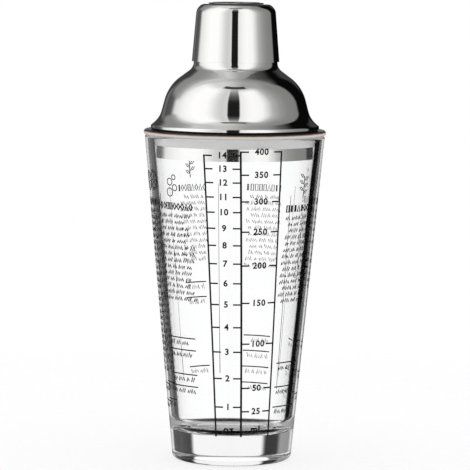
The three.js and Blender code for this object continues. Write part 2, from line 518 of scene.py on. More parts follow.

# %% [markdown]
# ## The seal
# A ring of milky silicone sits on the rim and reaches down between the skirt and the glass. Its colour is
# painted light and shade that follow the height: the thin stopper is pale, and the flange's top under the
# bead goes brown and then nearly black. That is a painted shadow of the bead, with the warm light that
# silicone scatters painted in as brown. Real scattering is slow to render and hard to steer in so thin a
# ring, so the colour follows the height, and noise makes the borders of these painted shades a little
# uneven.

# %% Milky silicone and the seal ring
# Painted shade: heights in mm over the flange's underside and their colours, from the pale stopper to the
# bead's painted shadow.
SEAL_PAINTED_SHADE = [
    (-0.4, (0.95, 0.945, 0.94)),
    (0.1, (0.6, 0.58, 0.56)),
    (1.05, (0.66, 0.62, 0.59)),
    (1.4, (0.32, 0.22, 0.18)),
    (1.8, (0.02, 0.009, 0.007)),
]
SHADES_UNEVEN = 0.5
CLOUD_SCALE = 160.0


def milky_silicone():
    """Painted shade by height over the flange's underside, in millimetres, darkest in the bead's shadow,
    with a slightly uneven border.
    """
    material, tree, shader = new_material("milky_silicone")
    place = object_place(tree)
    height = feed(tree, add_node(tree, "ShaderNodeSeparateXYZ"), {"Vector": place}).outputs["Z"]
    cloudy = calc(tree, "SUBTRACT", noise(tree, place, CLOUD_SCALE), HALF)
    uneven = calc(tree, "MULTIPLY_ADD", cloudy, SHADES_UNEVEN * MM, height)
    lowest = SEAL_PAINTED_SHADE[0][0]
    reach = SEAL_PAINTED_SHADE[-1][0] - lowest
    share = add_node(tree, "ShaderNodeMapRange")
    low = (FLANGE_BOTTOM + lowest) * MM
    feed(tree, share, {"Value": uneven, "From Min": low, "From Max": low + reach * MM})
    shades = [((over - lowest) / reach, colour) for over, colour in SEAL_PAINTED_SHADE]
    tree.links.new(ramp(tree, share.outputs["Result"], shades), shader.inputs["Base Color"])
    feed(tree, shader, {"IOR": 1.41, "Specular IOR Level": 0.12})
    use_marks(tree, shader, polish=0.3, smudges=0.15, scratches=0.05)
    return material


def seal_ring():
    bore = SKIRT_RADIUS + FIT_GAP
    flange = RIM_RADIUS + SEAL_OVERHANG
    low = FLANGE_BOTTOM - SEAL_DEPTH
    high = FLANGE_BOTTOM + SEAL_FLANGE
    return turned(
        "seal",
        outline(
            [
                (bore, low),
                (inner_radius(GLASS_HEIGHT - SEAL_DEPTH) - FIT_GAP, low, SEAL_EDGE / 2),
                (inner_radius(GLASS_HEIGHT) - FIT_GAP, FLANGE_BOTTOM),
                (flange, FLANGE_BOTTOM, SEAL_EDGE),
                (flange, high, SEAL_SHOULDER),
                (bore, high),
            ]
        ),
    )


dress(seal_ring(), milky_silicone(), "seal", "milky_silicone", "seal_ring")

# %% [markdown]
# ## The polished steel
# The strainer top and the cap are pressed and spun from stainless sheet and buffed to a mirror. A mirror
# has hardly any colour of its own, so its looks are the studio around it; the finish only adds what real
# buffing leaves: a little blur, faint wiping lines and a slow waviness.

# %% Mirror steel
STEEL_COLOUR = (0.86, 0.855, 0.845, 1.0)


def polished_steel(name, polish):
    material, tree, shader = new_material(name)
    feed(tree, shader, {"Base Color": STEEL_COLOUR, "Metallic": 1.0})
    use_marks(tree, shader, polish=polish, smudges=0.03, scratches=0.025)
    use_waves(tree, shader, size=55.0, ripple=0.12, depth=0.00004)
    return material


MIRROR_STEEL = polished_steel("mirror_steel", polish=0.03)
SATIN_STEEL = polished_steel("satin_steel", polish=0.07)
print("steel finishes:", MIRROR_STEEL.name, SATIN_STEEL.name)

# %% [markdown]
# ## The skirt and the bell
# The bell is one spun sheet with a rolled bead, a wide shoulder and a neck that tapers, so that the cap
# grips it. The skirt is a second sheet, hung from the bead's hem, that plugs into the seal. A thin
# surface with a Solidify modifier would also do, but here the outer face is drawn and the thickness is
# set off inwards from it, which keeps the gaps in the hem exact.

# %% The skirt and the bell
FLARE_POINT = Vector((BEAD_RADIUS - FLARE_WIDTH, BEAD_BOTTOM + BEAD_HEIGHT + FLARE_HEIGHT))
NECK_POINT = Vector((NECK_RADIUS, NECK_CORNER_Z))
SHOULDER_POINT = Vector(
    (
        between(NECK_POINT.x, FLARE_POINT.x, SHOULDER_OUT),
        between(FLARE_POINT.y, NECK_POINT.y, SHOULDER_UP),
    )
)
NECK_TOP_POINT = Vector((NECK_TOP_RADIUS, NECK_TOP))


def plug_skirt():
    fold = BEAD_BOTTOM + SHEET + FIT_GAP
    outer = [
        (SKIRT_RADIUS, GLASS_HEIGHT - SKIRT_DEPTH),
        (SKIRT_RADIUS, fold, HEM_GAP - FIT_GAP),
        (BEAD_RADIUS - BEAD_HEIGHT / 2, fold),
    ]
    return turned("skirt", sheet_section(outline(outer), SHEET))


def strainer_bell():
    outer = [
        (SKIRT_RADIUS + HEM_GAP, BEAD_BOTTOM),
        (BEAD_RADIUS, BEAD_BOTTOM, BEAD_HEIGHT / 2),
        (BEAD_RADIUS, BEAD_BOTTOM + BEAD_HEIGHT, BEAD_HEIGHT / 2),
        (*FLARE_POINT, FLARE_FILLET),
        (*SHOULDER_POINT, SHOULDER_FILLET),
        (*NECK_POINT, NECK_FILLET),
        (*NECK_TOP_POINT, NECK_CORNER),
        (LIP_INNER, NECK_TOP),
    ]
    return turned("strainer_bell", sheet_section(outline(outer), SHEET))


dress(plug_skirt(), SATIN_STEEL, "strainer_top", "polished_steel", "plug_skirt")
dress(strainer_bell(), MIRROR_STEEL, "strainer_top", "polished_steel", "strainer_dome")

# %% [markdown]
# ## The cap
# The cap is a deep-drawn cup that is also a measure, so a low ring round its sunken top lets it stand
# upside down. Its side follows the neck's taper. The soft corner is cut off twice and then rounded, which
# comes closer to a drawn corner than one plain arc does.

# %% The cap
NECK_ROOT = fillet(SHOULDER_POINT, NECK_POINT, NECK_TOP_POINT, NECK_FILLET)[1]
CAP_BOTTOM = NECK_CORNER_Z + NECK_ROOT + CAP_REVEAL
CAP_TOP = CAP_BOTTOM + CAP_HEIGHT


def pouring_cap():
    side = PUSH_GAP + CAP_SHEET
    edge = Vector((neck_radius(CAP_BOTTOM) + side, CAP_BOTTOM))
    ring_foot = Vector((RING_RADIUS + RING_SLOPE, CAP_TOP - RING_RISE))
    corner = Vector((neck_radius(CAP_TOP) + side, CAP_TOP - RING_RISE - CAP_CROWN))
    cut_below = corner + (edge - corner).normalized() * CAP_CUT_DOWN
    cut_beside = corner + (ring_foot - corner).normalized() * CAP_CUT_IN
    ring_inner = RING_RADIUS - RING_WIDTH
    outer = [
        tuple(edge),
        (*cut_below, CAP_CORNER),
        (*cut_beside, CAP_CORNER),
        (*ring_foot, RING_ROUND),
        (RING_RADIUS, CAP_TOP, RING_ROUND),
        (ring_inner, CAP_TOP, RING_ROUND),
        (ring_inner - RECESS_SLOPE, CAP_TOP - RECESS_DEPTH, RING_ROUND),
        (0, CAP_TOP - RECESS_DEPTH),
    ]
    return turned("cap", sheet_section(outline(outer), CAP_SHEET))


dress(pouring_cap(), MIRROR_STEEL, "cap", "polished_steel", "pouring_cap")
print("cap top:", round(CAP_TOP, 2))

# %% [markdown]
# ## The strainer plate
# The drink pours through a punched disc under the neck's lip. A flat sheet with many holes is drawn most
# simply as a filled curve: one big circle with small circles inside it, which Blender turns into a plate
# with real holes and softly broken edges.

# %% The punched plate
PLATE_TOP = NECK_TOP - SHEET - FIT_GAP
BROKEN_EDGE = 0.06
CIRCLE_HANDLE = 4 / 3 * math.tan(math.pi / 8)
CIRCLE_STEPS = 10
HOLES_PER_RING = 6


def add_circle(curve, x, y, radius):
    """A closed Bezier circle of four points."""
    spline = curve.splines.new("BEZIER")
    spline.bezier_points.add(3)
    spline.use_cyclic_u = True
    for k, point in enumerate(spline.bezier_points):
        spoke = Vector((math.cos(k * math.pi / 2), math.sin(k * math.pi / 2), 0)) * radius
        along = Vector((-spoke.y, spoke.x, 0)) * CIRCLE_HANDLE
        point.co = Vector((x, y, 0)) + spoke
        point.handle_left = point.co - along
        point.handle_right = point.co + along


def hole_places():
    rings = int((LIP_INNER - PLATE_MARGIN - HOLE_RADIUS) / HOLE_PITCH)
    for ring in range(rings + 1):
        holes = max(1, HOLES_PER_RING * ring)
        for k in range(holes):
            angle = math.tau * k / holes
            yield ring * HOLE_PITCH * math.cos(angle), ring * HOLE_PITCH * math.sin(angle)


def mesh_of(curve, name):
    """The mesh that a curve makes, with the curve itself removed."""
    maker = bpy.data.objects.new(name, curve)
    bpy.context.scene.collection.objects.link(maker)
    view = bpy.context.evaluated_depsgraph_get()
    mesh = bpy.data.meshes.new_from_object(maker.evaluated_get(view))
    bpy.data.objects.remove(maker)
    bpy.data.curves.remove(curve)
    return mesh


def strainer_plate():
    curve = bpy.data.curves.new("plate_drawing", "CURVE")
    curve.dimensions = "2D"
    curve.fill_mode = "BOTH"
    curve.resolution_u = CIRCLE_STEPS
    curve.bevel_depth = BROKEN_EDGE * MM
    curve.extrude = (PLATE_SHEET / 2 - BROKEN_EDGE) * MM
    add_circle(curve, 0, 0, (NECK_TOP_RADIUS - NECK_CORNER - FIT_GAP - BROKEN_EDGE) * MM)
    for x, y in hole_places():
        add_circle(curve, x * MM, y * MM, (HOLE_RADIUS + BROKEN_EDGE) * MM)
    mesh = mesh_of(curve, "plate_drawing")
    mesh.transform(Matrix.Translation((0, 0, (PLATE_TOP - PLATE_SHEET / 2) * MM)))
    mesh.materials.clear()
    mesh.set_sharp_from_angle(angle=SHARP_ANGLE)
    piece = bpy.data.objects.new("strainer_disc", mesh)
    bpy.context.scene.collection.objects.link(piece)
    print("strainer disc with", len(list(hole_places())), "holes")
    return piece


dress(strainer_plate(), MIRROR_STEEL, "strainer_top", "polished_steel", "strainer_plate")

# %% [markdown]
# ## The printed scale
# The scale is black enamel fired onto the outside of the glass. It is real geometry here: every line,
# numeral and bar is a thin flat shape that is drawn in millimetres, wrapped round the cone and given the
# enamel's thickness. A cone fills faster the wider it gets, so the steps of a scale shrink upwards. A
# short polynomial for each of the two scales places all of its marks.

# %% Levels of the marks
OUNCE_CURVE = (13.7, 15.06, -0.576, 0.0121)
MILLILITRE_CURVE = (14.66, 0.4653, -0.000339)
OUNCES = list(range(1, 15))
MILLILITRES = [25, *range(50, 401, 50)]


def level(curve, amount):
    """Height of an amount on the scale that a curve describes."""
    return sum(factor * amount**power for power, factor in enumerate(curve))


OUNCE_TOP = level(OUNCE_CURVE, OUNCES[-1])
MILLILITRE_TOP = level(MILLILITRE_CURVE, MILLILITRES[-1])
print("scales end at", round(OUNCE_TOP, 1), "and", round(MILLILITRE_TOP, 1), "mm")

# %% Flat artwork wrapped on the cone
INK_SINK = 0.02
INK_RISE = 0.05
WRAP_STEP = 1.2
NUMERAL_SIZE = 1.38
NUMERAL_WEIGHT = 0.045
NUMERAL_SPACING = 1.12
NUMERAL_STEPS = 3


class Print:
    """Flat shapes in millimetres, gathered as one thin layer on the outside of the glass."""

    def __init__(self, name):
        self.name = name
        self.verts = []
        self.faces = []

    def shape(self, points, faces, angle, z):
        """Adds flat points (right, up) and their faces at an angle in degrees and a height."""
        start = len(self.verts)
        for right, up in points:
            radius = outer_radius(z + up) - INK_SINK
            turn = math.radians(angle) + right / radius
            self.verts.append(on_shaker(radius, turn, z + up))
        self.faces += [[start + k for k in face] for face in faces]

    def bar(self, left, right, thickness, angle, z):
        """A level bar from left to right, centred on a height."""
        steps = max(1, math.ceil((right - left) / WRAP_STEP))
        points = []
        for k in range(steps + 1):
            x = between(left, right, k / steps)
            points += [(x, -thickness / 2), (x, thickness / 2)]
        faces = [(2 * k, 2 * k + 2, 2 * k + 3, 2 * k + 1) for k in range(steps)]
        self.shape(points, faces, angle, z)

    def stroke(self, path, thickness, angle, z, closed=False):
        """A line of even thickness along flat points."""
        count = len(path)
        sides = []
        for k, point in enumerate(path):
            before = path[(k - 1) % count] if closed or k else point
            after = path[(k + 1) % count] if closed or k < count - 1 else point
            along = (Vector(after) - Vector(before)).normalized()
            across = Vector((-along.y, along.x)) * thickness / 2
            sides += [tuple(Vector(point) - across), tuple(Vector(point) + across)]
        links = count if closed else count - 1
        faces = []
        for k in range(links):
            after = (k + 1) % count
            faces.append((2 * k, 2 * after, 2 * after + 1, 2 * k + 1))
        self.shape(sides, faces, angle, z)

    def words(self, text, height, weight, angle, z):
        """A numeral or unit set in the built-in typeface, centred."""
        curve = bpy.data.curves.new("label", "FONT")
        curve.body = text
        curve.size = height * NUMERAL_SIZE
        curve.align_x = "CENTER"
        curve.align_y = "CENTER"
        curve.offset = height * weight
        curve.space_character = NUMERAL_SPACING
        curve.resolution_u = NUMERAL_STEPS
        mesh = mesh_of(curve, "label")
        points = [(v.co.x, v.co.y) for v in mesh.vertices]
        self.shape(points, [list(p.vertices) for p in mesh.polygons], angle, z)
        bpy.data.meshes.remove(mesh)

    def finish(self, material):
        """One object with the enamel's thickness, riding on the glass."""
        mesh = bpy.data.meshes.new(self.name)
        mesh.from_pydata(self.verts, [], self.faces)
        piece = bpy.data.objects.new(self.name, mesh)
        bpy.context.scene.collection.objects.link(piece)
        solid = piece.modifiers.new("enamel_thickness", "SOLIDIFY")
        solid.thickness = (INK_SINK + INK_RISE) * MM
        solid.offset = 1.0
        print("printed", self.name, "with", len(self.faces), "faces")
        return dress(piece, material, "tumbler", "print_enamel")


# %% [markdown]
# The enamel is nearly black, with pinholes of slightly thinner ink. The scale has its own copy that
# mirror rays pass through, because its image in the skirt close behind it would make the top numbers hard
# to read.

# %% Black enamel
PINHOLE_SCALE = 900.0
ENAMEL_GREYS = [(0.3, grey(0.003)), (0.75, grey(0.01))]


def black_enamel(name, mirrored):
    """Black enamel; unless it is mirrored, a ray that was reflected on its way here passes through it."""
    material, tree, shader = new_material(name)
    thin = noise(tree, object_place(tree), PINHOLE_SCALE, detail=2.0)
    feed(tree, shader, {"Base Color": ramp(tree, thin, ENAMEL_GREYS), "Specular IOR Level": 0.1})
    use_marks(tree, shader, polish=0.32, smudges=0.15, scratches=0.1)
    if not mirrored:
        reflections = add_node(tree, "ShaderNodeLightPath").outputs["Glossy Depth"]
        tree.links.new(calc(tree, "LESS_THAN", reflections, HALF), shader.inputs["Alpha"])
    return material


PANEL_ENAMEL = black_enamel("panel_enamel", mirrored=True)
SCALE_ENAMEL = black_enamel("scale_enamel", mirrored=False)
print("enamels:", PANEL_ENAMEL.name, SCALE_ENAMEL.name)

# %% [markdown]
# The scale is a ladder of three upright lines. Ounces are between the left pair and millilitres between
# the right pair, each level marked by a short tick from both lines with its number in the middle. The
# lines lean a little round the glass, as a transfer print laid on by hand does.

# %% Lines, ticks and numerals
LINE_FOOT = 14.2
LINE_TOP = {"left": OUNCE_TOP, "middle": MILLILITRE_TOP, "right": MILLILITRE_TOP}
LINE_WIDTH = {"left": 0.8, "middle": 0.95, "right": 0.8}
LINE_ANGLE = {"left": (-14.4, -19.8), "middle": (8.4, 3.8), "right": (35.1, 30.9)}
LINE_PARTS = 60
TICK_LENGTH = 3.8
TICK_WIDTH = 0.68
NUMERAL_HEIGHT = 2.9
UNIT_HEIGHT = 3.2
UNIT_WEIGHT = 0.06
UNIT_Z = 17.5


def lean(line, z):
    """Angle of an upright line at a height, in degrees."""
    foot, top = LINE_ANGLE[line]
    return between(foot, top, (z - LINE_FOOT) / (MILLILITRE_TOP - LINE_FOOT))


def middle_of(first, second, z):
    return (lean(first, z) + lean(second, z)) / 2


def upright(scale, line):
    half = LINE_WIDTH[line] / 2
    rise = (LINE_TOP[line] + TICK_WIDTH / 2 - LINE_FOOT) / LINE_PARTS
    for k in range(LINE_PARTS):
        z = LINE_FOOT + k * rise
        shift = math.radians(lean(line, z + rise) - lean(line, z)) * outer_radius(z + rise)
        points = [(-half, 0), (half, 0), (shift + half, rise), (shift - half, rise)]
        scale.shape(points, [(0, 1, 2, 3)], lean(line, z), z)


def rung(scale, label, z, first, second):
    """A level: a tick from each of two lines and its number between them."""
    scale.bar(0, TICK_LENGTH, TICK_WIDTH, lean(first, z), z)
    scale.bar(-TICK_LENGTH, 0, TICK_WIDTH, lean(second, z), z)
    scale.words(label, NUMERAL_HEIGHT, NUMERAL_WEIGHT, middle_of(first, second, z), z)


def measuring_scale():
    scale = Print("measuring_scale")
    for line in LINE_TOP:
        upright(scale, line)
    for amount in OUNCES:
        rung(scale, str(amount), level(OUNCE_CURVE, amount), "left", "middle")
    for amount in MILLILITRES:
        rung(scale, str(amount), level(MILLILITRE_CURVE, amount), "middle", "right")
    scale.words("oz", UNIT_HEIGHT, UNIT_WEIGHT, middle_of("left", "middle", UNIT_Z), UNIT_Z)
    scale.words("ml", UNIT_HEIGHT, UNIT_WEIGHT, middle_of("middle", "right", UNIT_Z), UNIT_Z)
    return scale.finish(SCALE_ENAMEL)


measuring_scale()

# %% [markdown]
# ## The printed panels
# Panels of small print run round the rest of the glass, each with a heading, a block of lines and fill
# levels below, and most with a sign above. Nothing is lettered: a zigzag line stands for a word, and rows
# of little diamonds, boxes, tents and bars stand for a heading. A picture could be laid on as a texture,
# but strokes of real enamel stay sharp at any distance and are part of the mesh.

# %% Signs made of strokes
SIGN_LINE = 0.45
RING_STEPS = 28
WHEEL_RINGS = (4.6, 3.8)
WHEEL_SPOKE = (0.7, 3.6)
WHEEL_SPOKES = 8
CUBES = [(-1.6, -1.6, 2.9, 0.3), (1.7, 2.4, 2.5, 0.95)]
STEM = [(0, -5.2), (0.3, -1.8), (0, 4.8)]
LEAF = [(0, 0), (1.5, 1.7), (3.0, 1.9), (1.7, 0.5)]
LEAVES = 6
LEAF_FOOT = -3.4
LEAF_PITCH = 1.5
BUBBLES = [(-1.4, -3.4, 1.9), (1.9, -1.2, 1.4), (-1.2, 1.4, 1.6), (1.5, 3.6, 1.1)]
BUBBLE_STEPS = 20


def ring_path(radius, x=0.0, y=0.0, steps=RING_STEPS):
    turns = [math.tau * k / steps for k in range(steps)]
    return [(x + radius * math.cos(turn), y + radius * math.sin(turn)) for turn in turns]


def wheel_sign(panel, angle, z):
    """A slice of fruit: two rings and spokes."""
    for radius in WHEEL_RINGS:
        panel.stroke(ring_path(radius), SIGN_LINE, angle, z, closed=True)
    for k in range(WHEEL_SPOKES):
        turn = math.tau * k / WHEEL_SPOKES
        spoke = [(r * math.cos(turn), r * math.sin(turn)) for r in WHEEL_SPOKE]
        panel.stroke(spoke, SIGN_LINE, angle, z)


def cubes_sign(panel, angle, z):
    """Two tilted squares, one above the other."""
    for x, y, size, tilt in CUBES:
        turns = [tilt + k * math.pi / 2 for k in range(4)]
        square = [(x + size * math.cos(turn), y + size * math.sin(turn)) for turn in turns]
        panel.stroke(square, SIGN_LINE, angle, z, closed=True)


def sprig_sign(panel, angle, z):
    """A stem with leaves on alternate sides."""
    panel.stroke(STEM, SIGN_LINE, angle, z)
    for k in range(LEAVES):
        side = -1 if k % 2 else 1
        root = LEAF_FOOT + LEAF_PITCH * k
        leaf = [(side * right, root + up) for right, up in LEAF]
        panel.stroke(leaf, SIGN_LINE, angle, z, closed=True)


def bubbles_sign(panel, angle, z):
    """Rings of different sizes, rising."""
    for x, y, radius in BUBBLES:
        panel.stroke(ring_path(radius, x, y, BUBBLE_STEPS), SIGN_LINE, angle, z, closed=True)


# %% Rows of small print
HEADING_SHAPES = [
    [(-0.42, 0), (0, -0.5), (0.42, 0), (0, 0.5)],
    [(-0.32, -0.5), (0.32, -0.5), (0.32, 0.5), (-0.32, 0.5)],
    [(-0.42, -0.5), (0.42, -0.5), (0, 0.5)],
    [(-0.12, -0.5), (0.12, -0.5), (0.12, 0.5), (-0.12, 0.5)],
]
HEADING_PITCH = 0.78
HEADING_WIDTH = 0.72
PRINT_LINE = 0.82
PRINT_HEIGHT = 1.6
LABEL_HEIGHT = 1.9
STROKE_STEP = (0.45, 0.7)
HIGH_PEAK = (0.7, 1.25)
LOW_PEAK = (-0.1, 0.15)
WORD_WIDTH = (1.6, 6.0)
WORD_GAP = 0.9


def heading_row(panel, width, height, line, angle, z, rng):
    """A heading: little diamonds, boxes, tents and bars side by side."""
    pitch = height * HEADING_PITCH
    count = int(width / pitch)
    for k in range(count):
        x = (k - (count - 1) / 2) * pitch
        mark = rng.choice(HEADING_SHAPES)
        drawn = [(x + right * height * HEADING_WIDTH, up * height) for right, up in mark]
        panel.stroke(drawn, line, angle, z, closed=True)


def word_row(panel, width, height, line, angle, z, rng):
    """A row of small print: zigzags of the length of words."""
    x = -width / 2
    while x < width / 2 - WORD_WIDTH[0]:
        end = min(x + rng.uniform(*WORD_WIDTH), width / 2)
        path = []
        while x < end:
            peak = rng.uniform(*(HIGH_PEAK if len(path) % 2 else LOW_PEAK))
            path.append((x, height * (peak - HALF)))
            x += rng.uniform(*STROKE_STEP)
        panel.stroke(path, line, angle, z)
        x += WORD_GAP


# %% Panels round the glass
SIGN_RISE = 9.8
FIRST_ROW_DROP = 4.4
HEADING_HEIGHT = 3.0
ROW_PITCH = 2.95
ROW_SHARE = (0.65, 1.0)
LEVEL_LINE = 0.55
LEVEL_SHARE = 0.36
LABEL_SHARE = 0.6
LABEL_DROP = 2.3
DIVIDER_LINE = 0.25
DIVIDER_FOOT = 36.0
DIVIDER_PITCH = 6.0
DIVIDER_PARTS = 16
DIVIDERS = (41, 78, 125, 192, 240, 301)
# Angle, width, sign, height and line of the heading, number of rows, and fill levels.
PANELS = [
    (-46, 24, bubbles_sign, 120.5, 0.8, 14, (59.4, 53.8, 42.4, 36.8)),
    (53, 22, sprig_sign, 120.0, 0.8, 14, (48.1, 36.9, 27.5)),
    (100, 16, cubes_sign, 121.0, 0.5, 13, (55.0, 41.0, 30.5)),
    (156, 22, None, 124.4, 0.45, 12, (54.2, 46.9, 39.4, 31.8)),
    (215, 19, sprig_sign, 124.4, 0.5, 11, (79.6, 72.5, 39.8)),
    (280, 19, wheel_sign, 121.0, 0.7, 26, (36.0, 28.0)),
]


def small_print(panels, angle, width, sign, heading_z, heading_line, rows, levels):
    """One panel: its sign, heading, rows of words and fill levels, drawn with its own dice."""
    rng = random.Random(angle)
    line = heading_line * PRINT_LINE
    if sign:
        sign(panels, angle, heading_z + SIGN_RISE)
    heading_row(panels, width, HEADING_HEIGHT, heading_line, angle, heading_z, rng)
    for row in range(rows):
        z = heading_z - FIRST_ROW_DROP - row * ROW_PITCH
        word_row(panels, width * rng.uniform(*ROW_SHARE), PRINT_HEIGHT, line, angle, z, rng)
    for z in levels:
        half = width * LEVEL_SHARE
        panels.bar(-half, half, LEVEL_LINE, angle, z)
        word_row(panels, width * LABEL_SHARE, LABEL_HEIGHT, line, angle, z - LABEL_DROP, rng)


def printed_panels():
    panels = Print("printed_panels")
    for panel in PANELS:
        small_print(panels, *panel)
    for angle in DIVIDERS:
        path = [(0, k * DIVIDER_PITCH) for k in range(DIVIDER_PARTS)]
        panels.stroke(path, DIVIDER_LINE, angle, DIVIDER_FOOT)
    return panels.finish(PANEL_ENAMEL)


printed_panels()

# %% [markdown]
# ## The studio
# Bright metal and clear glass show nothing but their surroundings, so the studio is designed by
# direction. Lamps and cards could stand there as objects, but here they are painted on the sky, which
# renders quickly and lets every edge be placed in degrees. These helpers turn a direction into soft-edged
# masks and greys.

# %% Helpers that paint by direction
def mixed(tree, factor, first, second):
    """The first colour turned into the second one by a factor; a colour is plain or linked."""
    node = add_node(tree, "ShaderNodeMix", data_type="RGBA")
    colours = [c if isinstance(c, bpy.types.NodeSocket) else (*c, 1.0) for c in (first, second)]
    return feed(tree, node, {"Factor": factor, 6: colours[0], 7: colours[1]}).outputs[2]


def eased(tree, value, start, end):
    """0 to 1 as an angle goes from start to end, both in degrees."""
    node = add_node(tree, "ShaderNodeMapRange", interpolation_type="SMOOTHSTEP")
    sockets = {"Value": value, "From Min": math.radians(start), "From Max": math.radians(end)}
    return feed(tree, node, sockets).outputs["Result"]


def within(tree, angle, centre, edge):
    """1 near an angle and 0 beyond the edge's two distances from it, all in degrees."""
    apart = calc(tree, "ABSOLUTE", calc(tree, "SUBTRACT", angle, math.radians(centre)))
    return calc(tree, "SUBTRACT", 1.0, eased(tree, apart, *edge))


def banded(tree, turn, bands):
    """Greys by the direction round the horizon."""
    share = calc(tree, "MULTIPLY_ADD", turn, 1 / math.tau, HALF)
    return ramp(tree, share, [((angle + 180) / 360, grey(value)) for angle, value in bands])


def by_angle(tree, angle, levels):
    """Greys at angles from 0 to 90 degrees."""
    share = calc(tree, "DIVIDE", angle, math.pi / 2)
    return ramp(tree, share, [(degrees / 90, grey(value)) for degrees, value in levels])


def product(tree, *factors):
    """All factors multiplied."""
    total = factors[0]
    for factor in factors[1:]:
        total = calc(tree, "MULTIPLY", total, factor)
    return total


def inverse(tree, share):
    return calc(tree, "SUBTRACT", 1.0, share)


# %% [markdown]
# The sky can't know which piece shows it, but Light Path tells how a ray got here. The camera and
# surfaces that scatter light get plain white. A straight ray through two faces of glass crossed the solid
# base, and one through four or more crossed the hollow tumbler. A mirrored ray that goes down comes from
# the glass's wall or from the skirt behind it.

# %% Kinds of rays
BASE_FACES = 2
HOLLOW_FACES = 4


def ray_kinds(tree, rise):
    """Masks of 0 or 1 for the ways that a ray can have come."""
    path = add_node(tree, "ShaderNodeLightPath").outputs
    faces = path["Transmission Depth"]
    mirrored = calc(tree, "GREATER_THAN", path["Glossy Depth"], HALF)
    scattered = calc(tree, "GREATER_THAN", path["Diffuse Depth"], HALF)
    straight = inverse(tree, mirrored)
    return {
        "plain": calc(tree, "MAXIMUM", path["Is Camera Ray"], scattered),
        "glass": calc(tree, "GREATER_THAN", faces, HALF),
        "wall": product(tree, mirrored, calc(tree, "LESS_THAN", rise, 0.0)),
        "hollow": product(tree, straight, calc(tree, "GREATER_THAN", faces, HOLLOW_FACES - HALF)),
        "base": product(tree, straight, calc(tree, "COMPARE", faces, BASE_FACES, HALF)),
    }


# %% [markdown]
# Round the horizon are big soft lights at the sides and dark cards behind, which draw the edges of the
# glass and the steel. They are a list of brightness at angles: 0 is where the camera stands, + is to the
# right, and 180 is behind. Mirrors also show the dark gap between the lights that the camera looks in
# through.

# %% Walls of the studio
AROUND_BANDS = [
    (-180, 1.0),
    (-173, 1.0),
    (-169, 0.05),
    (-157, 0.06),
    (-152, 0.16),
    (-146, 0.16),
    (-141, 0.08),
    (-124, 0.11),
    (-119, 0.3),
    (-113, 0.82),
    (-106, 0.92),
    (-90, 1.07),
    (-74, 1.16),
    (-50, 1.14),
    (-42, 1.03),
    (-31, 0.8),
    (-23, 0.7),
    (8, 0.92),
    (20, 1.06),
    (30, 1.12),
    (46, 1.08),
    (56, 0.79),
    (65, 0.5),
    (79, 0.35),
    (94, 0.27),
    (117, 0.24),
    (122, 0.003),
    (169, 0.003),
    (173, 1.0),
    (180, 1.0),
]
GAP_CENTRE = -2.5
GAP_EDGE = (7.5, 10.0)
GAP_LEVELS = [(10, 0.012), (27, 0.014), (33, 0.025), (38, 0.06), (47, 0.13), (64, 0.42)]
GAP_WIDER = 0.16
GAP_WIDER_FROM = (14.0, 26.0)
print("walls with", len(AROUND_BANDS), "bands")


def painted_walls(tree, turn, rise, kinds):
    """Side lights and cards, and for mirrors the gap between the lights."""
    wider = calc(tree, "MULTIPLY", eased(tree, rise, *GAP_WIDER_FROM), -GAP_WIDER)
    off = calc(tree, "SUBTRACT", turn, math.radians(GAP_CENTRE))
    off = calc(tree, "MULTIPLY_ADD", off, wider, off)
    in_mirrors = calc(tree, "MAXIMUM", inverse(tree, kinds["glass"]), kinds["wall"])
    in_gap = product(tree, within(tree, off, 0.0, GAP_EDGE), in_mirrors)
    return mixed(tree, in_gap, banded(tree, turn, AROUND_BANDS), by_angle(tree, rise, GAP_LEVELS))


# %% [markdown]
# Overhead is a ceiling that is lighter on the left and darker towards the back, where it also reaches
# further down. A lamp boom crosses it above the camera, a dark card hangs behind, and a grey table lies
# below.

# %% Ceiling, boom, table and card
CEILING_RISE = (56.0, 72.0)
CEILING_LEFT = [
    (0, 0.74),
    (8, 0.6),
    (16, 0.66),
    (20, 0.47),
    (26, 0.35),
    (34, 0.29),
    (45, 0.27),
    (53, 0.1),
    (60, 0.04),
]
CEILING_RIGHT = [
    (0, 0.4),
    (8, 0.32),
    (14, 0.24),
    (18, 0.13),
    (22, 0.08),
    (28, 0.05),
    (36, 0.02),
    (50, 0.004),
]
CEILING_SIDES = (-14.0, 12.0)
BACK_HALF = (98.0, 114.0)
LOW_LEFT = (12.0, 22.0)
LOW_RIGHT = (44.0, 54.0)
BOOM = 0.06
BOOM_HEIGHT = 71.0
BOOM_EDGE = (3.0, 4.6)
BOOM_ASIDE = (36.0, 42.0)
TABLE = 0.7
TABLE_RISE = (-35.0, -60.0)
CARD = 0.05
CARD_ASIDE = (150.0, 158.0)
CARD_BOTTOM = (8.0, 13.0)
CARD_TOP = (64.0, 76.0)


def painted_ceiling(tree, on_right, back):
    sides = [by_angle(tree, back, levels) for levels in (CEILING_LEFT, CEILING_RIGHT)]
    return mixed(tree, on_right, *sides)


